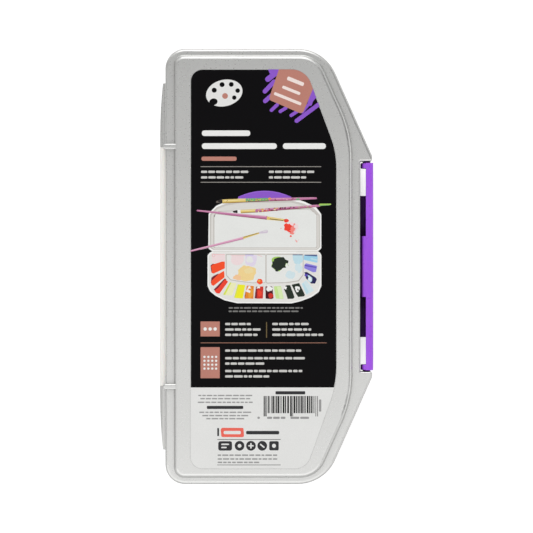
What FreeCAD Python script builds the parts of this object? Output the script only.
"""Folding airtight watercolour palette: silver outer shells, white inner trays, silicone seal,
pinned hinge along the back edge and a pivoting clip along the front edge.

Frame: +Z up, palette lying flat and closed. +X along the long side, -Y towards the front clip,
+Y towards the hinge. The origin is the middle of the underside.
All lengths are in millimetres.
"""
import FreeCAD, Part
import math
import os

V = FreeCAD.Vector

# ---------------------------------------------------------------- shells and rims
HEIGHT = 28.0            # closed height
PANEL_STEP = 2.5         # raised centre panel beyond the flange, lid and base alike
SHELL_T = 1.8            # outer shell wall
RIM_T = 1.6              # tray rim flange thickness
BASE_RIM_Z = 14.0        # top of the base rim
BASE_RIM_BOT = BASE_RIM_Z - RIM_T
LID_RIM_Z = 14.2         # underside of the lid rim
LID_RIM_TOP = LID_RIM_Z + RIM_T
FLANGE_TOP = HEIGHT - PANEL_STEP
FLANGE_BOT = PANEL_STEP
FLANGE_R = 1.8           # rounding along the outer edge of both flanges
PANEL_R = 2.3            # rounding round the raised panels
BASE_INSET = 1.0         # base shell wall set in under the base rim
OVERLAP = 0.5            # panel volumes run this far into the flange volumes

# ---------------------------------------------------------------- plan sizes
HALF_L = 127.7           # half length at the flange
BACK_Y = 59.35           # back edge of the flange
NOTCH_Y = -55.0          # front edge of the flange, behind the clip
HORN_Y = -62.0           # tips of the two clip horns
NOTCH_X = 61.7           # inner faces of the horns
HORN_X = 65.0            # where the slanted front edge meets a horn tip
CORNER_Y = -34.0         # start of the slanted front edge
R_BACK = 11.5
R_FRONT = 24.0

# ---------------------------------------------------------------- hinge
HINGE = (59.7, 14.1)     # hinge axis (y, z)
HINGE_GAP = 0.3          # running gap, both round and beside the barrel
BARREL_R = 3.3
BARREL_X = 70.3          # half length of the centre barrel
KNUCKLE_X0, KNUCKLE_X1 = BARREL_X + HINGE_GAP, 108.0
KNUCKLE_CLEAR_R = BARREL_R + HINGE_GAP
CLEAR_X = KNUCKLE_X1 + 0.4       # outer end of the room cut for a side knuckle
PIN_R = 1.0
PIN_X0, PIN_X1 = 57.0, 86.0
RIB_END, RIB_TOP = 60.65, 27.6   # end ribs across the back flange

# ---------------------------------------------------------------- clip
CLIP = (-58.8, 21.5)     # clip pivot axis (y, z)
CLIP_KNUCKLE_R = 3.5
CLIP_HALF = 60.8         # half length
STUB_R = 1.7
STUB_BORE_R = 1.75
STUB_END = 64.4
CLIP_TOP_Z = 25.0
CLIP_OUT_Y = -62.6
CLIP_EDGE_R = 2.3        # rounding along the clip's outer top edge
ARCH_BOTTOM_Z = 2.1      # lowest point of the arched lower edge
ARCH_R = 116.8
CURL_HALF = 17.8         # half of the middle rolled length
CURL_BORE_R = 2.0
LEDGE_HALF = 41.8        # catch ledge half length
CATCH_GRIP = 0.85        # how far the catch nose reaches under the base rim
GUSSET_T = 1.2
GUSSETS_X = (-36.0, -22.0, -8.0, 8.0, 22.0, 36.0)

# ---------------------------------------------------------------- trays and label
LAND_Z = 13.0            # flat land between the wells
CUP_TOP_Z = LAND_Z - 0.2     # cup and pan bodies stop inside the land
WELL_FLOOR_Z = 3.9
MIX_FLOOR_Z = 9.0
LID_FLOOR_Z = 23.0
TRAY_T = 1.4
BASIN_INSET = 4.2        # basin edge inside the panel contour
BRIM_R = 0.45            # rounded brims of wells and mixing pans

LABEL_RECESS = 0.25
LABEL_GAP = 0.25         # recess wall beyond the label edge
LABEL_T = 0.2


# ---------------------------------------------------------------- outlines, anticlockwise
def slant_x(y):
    """X of the slanted front edge on the +X side, at the given Y."""
    slope = (CORNER_Y - HORN_Y) / (HALF_L - HORN_X)
    return HALF_L - (CORNER_Y - y) / slope


def shell_outline(front):
    """The common back and ends, with the given front corners running from -X to +X."""
    return [(HALF_L, BACK_Y, R_BACK), (-HALF_L, BACK_Y, R_BACK),
            (-HALF_L, CORNER_Y, R_FRONT)] + front + [(HALF_L, CORNER_Y, R_FRONT)]


# Every outline is a list of (x, y, corner radius).
LID_OUT = shell_outline([
    (-HORN_X, HORN_Y, 1.3), (-NOTCH_X, HORN_Y, 1.15), (-NOTCH_X, NOTCH_Y, 0.4),
    (NOTCH_X, NOTCH_Y, 0.4), (NOTCH_X, HORN_Y, 1.15), (HORN_X, HORN_Y, 1.3)])
BASE_OUT = shell_outline([(-slant_x(NOTCH_Y), NOTCH_Y, 75.0), (slant_x(NOTCH_Y), NOTCH_Y, 75.0)])
PANEL = [(123.6, 54.0, 5.8), (-123.6, 54.0, 5.8), (-123.6, -29.6, 15.5),
         (-78.0, -50.2, 70.0), (78.0, -50.2, 70.0), (123.6, -29.6, 15.5)]
LABEL = [(115.3, 44.4, 6.8), (-118.2, 44.4, 6.8), (-118.2, -23.2, 9.5),
         (-68.6, -41.0, 60.0), (67.2, -41.0, 50.0), (115.3, -22.9, 12.0)]
# Mixing pan on the -X side.
MIX = [(-1.1, 49.3, 2.5), (-85.8, 49.3, 2.5), (-85.8, -1.6, 6.0), (-78.6, -9.2, 8.0),
       (-62.8, -13.0, 20.0), (-43.6, -15.5, 30.0), (-22.0, -16.9, 30.0), (-1.1, -17.3, 2.5)]
# Corners (x, y) of the wells on the -X side, anticlockwise; the basin contour trims each one.
WELLS = [
    [(-88.4, 49.3), (-126, 49.3), (-126, 34.2), (-88.4, 36.3)],
    [(-88.4, 34.0), (-126, 31.6), (-126, 8.2), (-88.4, 19.4)],
    [(-88.4, 17.0), (-126, 5.6), (-124, -20.6), (-88.6, -0.8)],
    [(-87.6, -3.4), (-122.0, -24.0), (-104.2, -44.0), (-81.8, -11.2)],
    [(-79.6, -12.4), (-97.5, -46.6), (-71.4, -52.0), (-64.6, -15.4)],
    [(-62.2, -15.9), (-70.2, -52.0), (-48.9, -52.0), (-44.9, -18.0)],
    [(-42.5, -18.2), (-46.3, -52.0), (-25.4, -52.0), (-23.3, -19.4)],
    [(-20.9, -19.5), (-22.7, -52.0), (-1.3, -52.0), (-1.3, -19.8)],
]


def offset(outline, inset):
    """The outline moved inwards (outwards if negative), corner radii following."""
    lines = []
    for i, (x0, y0, _) in enumerate(outline):
        x1, y1, _ = outline[(i + 1) % len(outline)]
        length = math.hypot(x1 - x0, y1 - y0)
        ux, uy = (x1 - x0) / length, (y1 - y0) / length
        lines.append((x0 - uy * inset, y0 + ux * inset, ux, uy))
    moved = []
    for i, (_, _, radius) in enumerate(outline):
        ax, ay, aux, auy = lines[i - 1]
        bx, by, bux, buy = lines[i]
        cross = aux * buy - auy * bux
        along = ((bx - ax) * buy - (by - ay) * bux) / cross
        new_radius = radius - inset if cross > 0 else radius + inset
        moved.append((ax + aux * along, ay + auy * along, max(new_radius, 0.3)))
    return moved


# ---------------------------------------------------------------- solids
def unit(vector):
    return vector * (1.0 / vector.Length)


def arc(start, middle, end):
    return Part.Arc(start, middle, end).toShape()


def polyline(points):
    return [Part.makeLine(a, b) for a, b in zip(points, points[1:])]


def extruded(edges, direction):
    return Part.Face(Part.Wire(Part.__sortEdges__(edges))).extrude(direction)


def extruded_polygon(points, direction):
    return Part.Face(Part.makePolygon(points + points[:1])).extrude(direction)


def outline_edges(outline, z):
    """Arcs at the rounded corners and the straight lines between them."""
    points = [V(x, y, z) for x, y, _ in outline]
    corners = []
    for i, (corner, (_, _, radius)) in enumerate(zip(points, outline)):
        if radius <= 0:
            corners.append((corner, None, corner))
            continue
        back = unit(points[i - 1] - corner)
        ahead = unit(points[(i + 1) % len(points)] - corner)
        half = back.getAngle(ahead) / 2
        tangent = radius / math.tan(half)
        middle = corner + unit(back + ahead) * (radius / math.sin(half) - radius)
        corners.append((corner + back * tangent, middle, corner + ahead * tangent))
    edges = []
    for i, (start, middle, end) in enumerate(corners):
        if middle is not None:
            edges.append(arc(start, middle, end))
        following = corners[(i + 1) % len(corners)][0]
        if (following - end).Length > 1e-6:
            edges.append(Part.makeLine(end, following))
    return edges


def prism(outline, z0, z1):
    return extruded(outline_edges(outline, z0), V(0, 0, z1 - z0))


def band(outer, inner, z0, z1):
    """A prism of the outer outline with the inner one cut right through."""
    return prism(outer, z0, z1).cut(prism(inner, z0 - 1, z1 + 1))


def box(x0, x1, y0, y1, z0, z1):
    return Part.makeBox(x1 - x0, y1 - y0, z1 - z0, V(x0, y0, z0))


def cyl_x(radius, x0, x1, axis):
    """A cylinder along X on an axis given as (y, z)."""
    return Part.makeCylinder(radius, x1 - x0, V(x0, *axis), V(1, 0, 0))


def side_cyl(side, radius, x0, x1, axis):
    """cyl_x from x0 to x1 on the +X side (side = 1) or mirrored (side = -1)."""
    low, high = sorted((side * x0, side * x1))
    return cyl_x(radius, low, high, axis)


def both(shape):
    """The shape and its mirror image in X = 0."""
    return [shape, shape.mirror(V(0, 0, 0), V(1, 0, 0))]


# ---------------------------------------------------------------- edge selection and fillets
def within(x_min, x_max, y_min, y_max):
    """A test for edges lying wholly inside a plan rectangle."""
    def test(edge):
        bb = edge.BoundBox
        return bb.XMin > x_min and bb.XMax < x_max and bb.YMin > y_min and bb.YMax < y_max
    return test


def edges_at(shape, z, test=lambda edge: True):
    return [e for e in shape.Edges
            if abs(e.BoundBox.ZMin - z) < 1e-4 and abs(e.BoundBox.ZMax - z) < 1e-4 and test(e)]


def vertical_edges(shape):
    return [e for e in shape.Edges if e.BoundBox.ZLength > 1.0
            and e.BoundBox.XLength < 1e-4 and e.BoundBox.YLength < 1e-4]


def end_edges(shape):
    """Edges lying in planes across X."""
    return [e for e in shape.Edges if e.BoundBox.XLength < 1e-4]


def round_edges(shape, radii, edges):
    """Fillets the edges with the first radius that gives a valid solid, else leaves them sharp."""
    for radius in radii:
        # makeFillet raises where a radius does not fit; the next one is then tried
        try:
            made = shape.makeFillet(radius, edges)
            if made.isValid() and made.Volume > 0:
                return made
        except Exception:
            pass
    return shape


def rounded_prism(outline, z0, z1, radii, edge_z, test=lambda edge: True):
    """A prism with its edges at height edge_z filleted."""
    made = prism(outline, z0, z1)
    return round_edges(made, radii, edges_at(made, edge_z, test))


# ---------------------------------------------------------------- lid shell
def make_knuckle():
    """One tapered side knuckle of the lid, on the +X side."""
    inner_y, z0, height = 50, 5, 20
    tube = cyl_x(BARREL_R, KNUCKLE_X0, KNUCKLE_X1, HINGE)
    start = V(KNUCKLE_X0, HINGE[0] + BARREL_R - 0.02, z0)
    end = V(KNUCKLE_X1, 61.1, z0)
    straight = polyline([end, V(KNUCKLE_X1, inner_y, z0), V(KNUCKLE_X0, inner_y, z0), start])
    return tube.common(extruded([arc(start, V(90.0, 62.5, z0), end)] + straight, V(0, 0, height)))


def make_rib():
    """One end rib over the flange and down the back wall, on the +X side."""
    x0, x1, front_y = 68.6, 72.0, 51.8
    foot_inset, foot_front_y, foot_z = 0.1, 57.8, 17.9
    rib = rounded_prism([(x1, RIB_END, 1.5), (x0, RIB_END, 1.5), (x0, front_y, 0), (x1, front_y, 0)],
                        FLANGE_TOP - 0.9, RIB_TOP, [0.9, 0.7, 0.5], RIB_TOP,
                        lambda e: e.BoundBox.YMax > front_y + 0.2)
    fx0, fx1, foot_end = x0 + foot_inset, x1 - foot_inset, RIB_END - foot_inset
    foot = prism([(fx1, foot_end, 1.4), (fx0, foot_end, 1.4),
                  (fx0, foot_front_y, 0), (fx1, foot_front_y, 0)], foot_z, FLANGE_TOP)
    return rib.fuse(foot)


def make_lid_outer():
    """The lid's outer volume before hollowing."""
    body = rounded_prism(LID_OUT, LID_RIM_TOP, FLANGE_TOP, [1.0, 0.9, 0.6, 0.4], FLANGE_TOP)
    # the ends, back and slanted sides carry a fuller rounding than the horns
    hull_y = -75.0
    hull_x = slant_x(hull_y)
    hull = rounded_prism(shell_outline([(-hull_x, hull_y, 0), (hull_x, hull_y, 0)]),
                         LID_RIM_Z, FLANGE_TOP, [FLANGE_R, 1.5, 1.2], FLANGE_TOP,
                         lambda e: e.BoundBox.YMax > hull_y + 1)
    body = body.common(hull)
    panel = rounded_prism(PANEL, FLANGE_TOP - OVERLAP, HEIGHT, [PANEL_R, 1.6, 1.4, 1.0], HEIGHT)
    outer = body.fuse(panel)
    seam = edges_at(outer, FLANGE_TOP, within(-124.2, 124.2, -51.5, 54.5))
    return round_edges(outer, [0.5, 0.35], seam)


def make_lid_shell():
    ceiling = FLANGE_TOP - SHELL_T
    cavity = prism(offset(LID_OUT, SHELL_T), LID_RIM_Z, ceiling)
    cavity = cavity.fuse(prism(offset(PANEL, SHELL_T), ceiling - OVERLAP, HEIGHT - SHELL_T))
    shell = make_lid_outer().cut(cavity)

    # solid horns that carry the clip
    horn = box(NOTCH_X, 68.0, HORN_Y - 1, -53.4, 17.6, FLANGE_TOP - 0.6).common(
        prism(offset(LID_OUT, 0.4), 16.0, FLANGE_TOP - 0.5))
    shell = shell.fuse(both(horn) + both(make_knuckle()) + both(make_rib()))

    # room for the centre barrel
    shell = shell.cut(cyl_x(KNUCKLE_CLEAR_R, -KNUCKLE_X0, KNUCKLE_X0, HINGE))
    # through bores for the hinge pins, blind bores for the clip
    cuts = []
    for side in (1, -1):
        cuts.append(side_cyl(side, PIN_R + 0.005, KNUCKLE_X0 - 1, KNUCKLE_X1 + 1, HINGE))
        cuts.append(side_cyl(side, STUB_BORE_R, NOTCH_X - 1, STUB_END + 0.3, CLIP))
    cuts.append(prism(offset(LABEL, -LABEL_GAP), HEIGHT - LABEL_RECESS, HEIGHT + 1))
    # back edge of the flange drawn in a little above the barrel
    cuts.append(prism([(67.9, 60.4, 0), (-67.9, 60.4, 0), (-64.0, 58.75, 4.0), (64.0, 58.75, 4.0)],
                      12.0, 30.0))
    return shell.cut(cuts)


# ---------------------------------------------------------------- lid tray and seal
def make_lid_tray():
    pan_top = LID_FLOOR_Z + 1.5
    rim = prism(offset(LID_OUT, 0.3), LID_RIM_Z, LID_RIM_TOP)
    block = prism(offset(PANEL, -1.0), LID_RIM_Z, 18.0)
    pan = rounded_prism(offset(PANEL, 2.6), LID_RIM_Z, pan_top, [2.0, 1.2], pan_top)
    tray = rim.fuse([block, pan])
    hollow = rounded_prism(offset(PANEL, BASIN_INSET), LID_RIM_Z - 3, LID_FLOOR_Z,
                           [3.0, 2.0], LID_FLOOR_Z)
    tray = tray.cut(hollow)
    mouth = edges_at(tray, LID_RIM_Z, within(-119.7, 119.7, -46.5, 50.2))
    tray = round_edges(tray, [0.5, 0.3], mouth)
    seal_groove = band(offset(PANEL, 0.4), offset(PANEL, 2.8), LID_RIM_Z - 1, 16.4)
    return tray.cut([seal_groove, cyl_x(KNUCKLE_CLEAR_R, -CLEAR_X, CLEAR_X, HINGE)])


def make_seal():
    bottom, top = 14.95, 16.35
    ring = band(offset(PANEL, 0.5), offset(PANEL, 2.7), bottom, top)
    return round_edges(ring, [0.45, 0.3], edges_at(ring, bottom))


# ---------------------------------------------------------------- base shell
def make_base_shell():
    floor = FLANGE_BOT + SHELL_T
    body = rounded_prism(offset(BASE_OUT, BASE_INSET), FLANGE_BOT, BASE_RIM_BOT,
                         [FLANGE_R, 1.0, 0.6], FLANGE_BOT)
    panel = rounded_prism(PANEL, 0.0, FLANGE_BOT + OVERLAP, [PANEL_R, 1.6, 1.0], 0.0)
    outer = body.fuse(panel)
    cavity = prism(offset(BASE_OUT, BASE_INSET + SHELL_T), floor, BASE_RIM_BOT + 1)
    cavity = cavity.fuse(prism(offset(PANEL, SHELL_T), SHELL_T, floor + OVERLAP))
    shell = outer.cut(cavity)
    # seat for the centre barrel and room for the side knuckles, overlapping slightly
    seat_gap = 0.05
    cuts = [cyl_x(BARREL_R + seat_gap, -BARREL_X - seat_gap, BARREL_X + seat_gap, HINGE)]
    for side in (1, -1):
        cuts.append(side_cyl(side, KNUCKLE_CLEAR_R, BARREL_X + 0.04, CLEAR_X, HINGE))
    return shell.cut(cuts)


# ---------------------------------------------------------------- base tray
def make_cell(points, inset, floor, corner_r, growth=0.0):
    """A well volume: the grown polygon trimmed by the basin contour, corners and floor rounded."""
    top = LAND_Z + 3
    grown = offset([(x, y, 0.0) for x, y in points], -growth)
    sharp = [(x, y, 0.0) for x, y, _ in grown]
    volume = prism(sharp, floor, top).common(prism(offset(PANEL, inset), floor, top))
    volume = volume.removeSplitter().Solids[0]
    volume = round_edges(volume, [corner_r, corner_r * 0.7, 0.8], vertical_edges(volume))
    return round_edges(volume, [min(corner_r, 2.2), 1.2, 0.6], edges_at(volume, floor))


def brimmed(cutter, z, radius):
    """The cutter stopped at height z, its mouth flared to leave a rounded brim."""
    bb = cutter.BoundBox
    around = (bb.XMin - 2, bb.XMax + 2, bb.YMin - 2, bb.YMax + 2)
    block = box(*around, z - 2.5, z)
    holed = block.cut(cutter)
    mouth = edges_at(holed, z, within(bb.XMin - 1.5, bb.XMax + 1.5, bb.YMin - 1.5, bb.YMax + 1.5))
    holed = round_edges(holed, [radius, radius * 0.7], mouth)
    low = cutter.common(box(*around, bb.ZMin - 1, z - 1.5))
    return block.cut(holed).fuse(low).removeSplitter()


def make_base_tray():
    bead_top = 14.9
    rim = band(BASE_OUT, offset(PANEL, BASIN_INSET), BASE_RIM_BOT, BASE_RIM_Z)
    lip = band(offset(BASE_OUT, 3.0), offset(BASE_OUT, 4.3), 10.4, BASE_RIM_BOT + 0.3)
    land = prism(offset(PANEL, BASIN_INSET - 1.2), LAND_Z - TRAY_T, LAND_Z)
    bead = band(offset(PANEL, 1.1), offset(PANEL, 2.1), BASE_RIM_Z - 0.3, bead_top)
    bead = round_edges(bead, [0.4, 0.3], edges_at(bead, bead_top))
    barrel = cyl_x(BARREL_R, -BARREL_X, BARREL_X, HINGE)
    solids = [lip, land, bead, barrel]
    cutters = []

    # wells
    below_cup_top = box(-200, 200, -200, 200, 0, CUP_TOP_Z)
    for points in WELLS:
        cup = make_cell(points, inset=BASIN_INSET - 0.6, floor=WELL_FLOOR_Z - TRAY_T,
                        corner_r=3.2, growth=TRAY_T - 0.25)
        solids += both(cup.common(below_cup_top))
        hollow = make_cell(points, inset=BASIN_INSET + 0.8, floor=WELL_FLOOR_Z, corner_r=2.6)
        cutters += both(brimmed(hollow, LAND_Z, BRIM_R))

    # mixing pans
    solids += both(prism(offset(MIX, 0.3 - TRAY_T), MIX_FLOOR_Z - TRAY_T, CUP_TOP_Z))
    hollow = rounded_prism(MIX, MIX_FLOOR_Z, LAND_Z + 3, [2.0, 1.2], MIX_FLOOR_Z)
    cutters += both(brimmed(hollow, LAND_Z, BRIM_R))
    tray = rim.fuse(solids).cut(cutters)

    # room for the side knuckles, blind bores for the hinge pins
    cuts = []
    for side in (1, -1):
        cuts.append(side_cyl(side, KNUCKLE_CLEAR_R, BARREL_X, CLEAR_X, HINGE))
        cuts.append(side_cyl(side, PIN_R + 0.05, PIN_X0 - 0.5, BARREL_X + 1, HINGE))
    return tray.cut(cuts)


# ---------------------------------------------------------------- clip
def make_clip_section():
    """The bowed clip wall and its top flange, a YZ section run along X beyond both ends."""
    half_run = 70.0

    def yz(y, z):
        return V(-half_run, y, z)
    bow_z, low_z, flange_z, flange_y = 14.0, ARCH_BOTTOM_Z - 1.0, 22.6, -58.3
    edge_y, edge_z = CLIP_OUT_Y + CLIP_EDGE_R, CLIP_TOP_Z - CLIP_EDGE_R
    diagonal = CLIP_EDGE_R * math.sqrt(0.5)
    out_top, out_low = yz(CLIP_OUT_Y, edge_z), yz(-61.0, low_z)
    in_low, in_top = yz(-59.2, low_z), yz(-60.7, flange_z)
    edge_start = yz(edge_y, CLIP_TOP_Z)
    edges = [arc(out_top, yz(CLIP_OUT_Y - 0.35, bow_z), out_low), Part.makeLine(out_low, in_low),
             arc(in_low, yz(-61.05, bow_z), in_top)]
    edges += polyline([in_top, yz(flange_y, flange_z), yz(flange_y, CLIP_TOP_Z), edge_start])
    edges.append(arc(edge_start, yz(edge_y - diagonal, edge_z + diagonal), out_top))
    return extruded(edges, V(2 * half_run, 0, 0))


def make_clip_front():
    """The clip's XZ outline run along Y: straight ends and one long arch below."""
    y, top_z = -80, 40
    end_z = ARCH_BOTTOM_Z + ARCH_R - math.sqrt(ARCH_R ** 2 - CLIP_HALF ** 2)
    left, right = V(-CLIP_HALF, y, end_z), V(CLIP_HALF, y, end_z)
    straight = polyline([right, V(CLIP_HALF, y, top_z), V(-CLIP_HALF, y, top_z), left])
    return extruded([arc(left, V(0, y, ARCH_BOTTOM_Z), right)] + straight, V(0, 40, 0))


def make_clip():
    front = make_clip_front()
    body = make_clip_section().common(front)
    arch_edges = [e for e in body.Edges if e.BoundBox.XLength > 60
                  and e.BoundBox.ZMin < 6 and e.BoundBox.ZMax < 22]
    body = round_edges(body, [0.6, 0.4, 0.25], arch_edges)
    adds = []
    # end knuckles, their stub axles and a spacing collar on each
    for side in (1, -1):
        ring = side_cyl(side, CLIP_KNUCKLE_R, 57.5, CLIP_HALF - 0.05, CLIP)
        adds.append(round_edges(ring, [0.5, 0.3], end_edges(ring)))
        adds.append(side_cyl(side, STUB_R, 59.0, STUB_END, CLIP))
        adds.append(side_cyl(side, 2.3, 60.0, NOTCH_X - 0.25, CLIP))
    # rolled middle length
    adds.append(cyl_x(CLIP_KNUCKLE_R, -CURL_HALF, CURL_HALF, CLIP).cut(
        cyl_x(CURL_BORE_R, -CURL_HALF - 1, CURL_HALF + 1, CLIP)))
    # catch ledge along the inside, its nose under the base rim: (y, z) section
    nose_y, top = NOTCH_Y + CATCH_GRIP, BASE_RIM_BOT - 0.15
    ledge = [(-62.0, top - 2.1), (-56.2, top - 1.8), (nose_y, top - 0.8), (nose_y, top), (-62.0, top)]
    adds.append(extruded_polygon([V(-LEDGE_HALF, y, z) for y, z in ledge], V(2 * LEDGE_HALF, 0, 0)))
    # gussets below the ledge: (y, z) section, kept just above the arch
    gusset = [(-61.6, 5.2), (-60.2, 5.6), (-57.0, top - 1.6), (-61.6, top - 1.6)]
    for x in GUSSETS_X:
        plate = extruded_polygon([V(x - GUSSET_T / 2, y, z) for y, z in gusset], V(GUSSET_T, 0, 0))
        adds.append(plate.common(front.translated(V(0, 0, 0.6))))
    return body.fuse(adds)


# ---------------------------------------------------------------- label and pins
def make_label():
    bottom = HEIGHT - LABEL_RECESS
    return prism(LABEL, bottom, bottom + LABEL_T)


def make_pin(side):
    pin = side_cyl(side, PIN_R, PIN_X0, PIN_X1, HINGE)
    return round_edges(pin, [0.25], end_edges(pin))


def save(name, shape):
    solids = shape.removeSplitter().Solids
    piece = solids[0] if len(solids) == 1 else Part.makeCompound(solids)
    piece.exportStep("parts/%s.step" % name)


os.makedirs("parts", exist_ok=True)
save("lid_shell", make_lid_shell())
save("lid_tray", make_lid_tray())
save("lid_seal", make_seal())
save("base_shell", make_base_shell())
save("base_tray", make_base_tray())
save("front_clip", make_clip())
save("lid_label", make_label())
save("hinge_pin_left", make_pin(-1))
save("hinge_pin_right", make_pin(1))
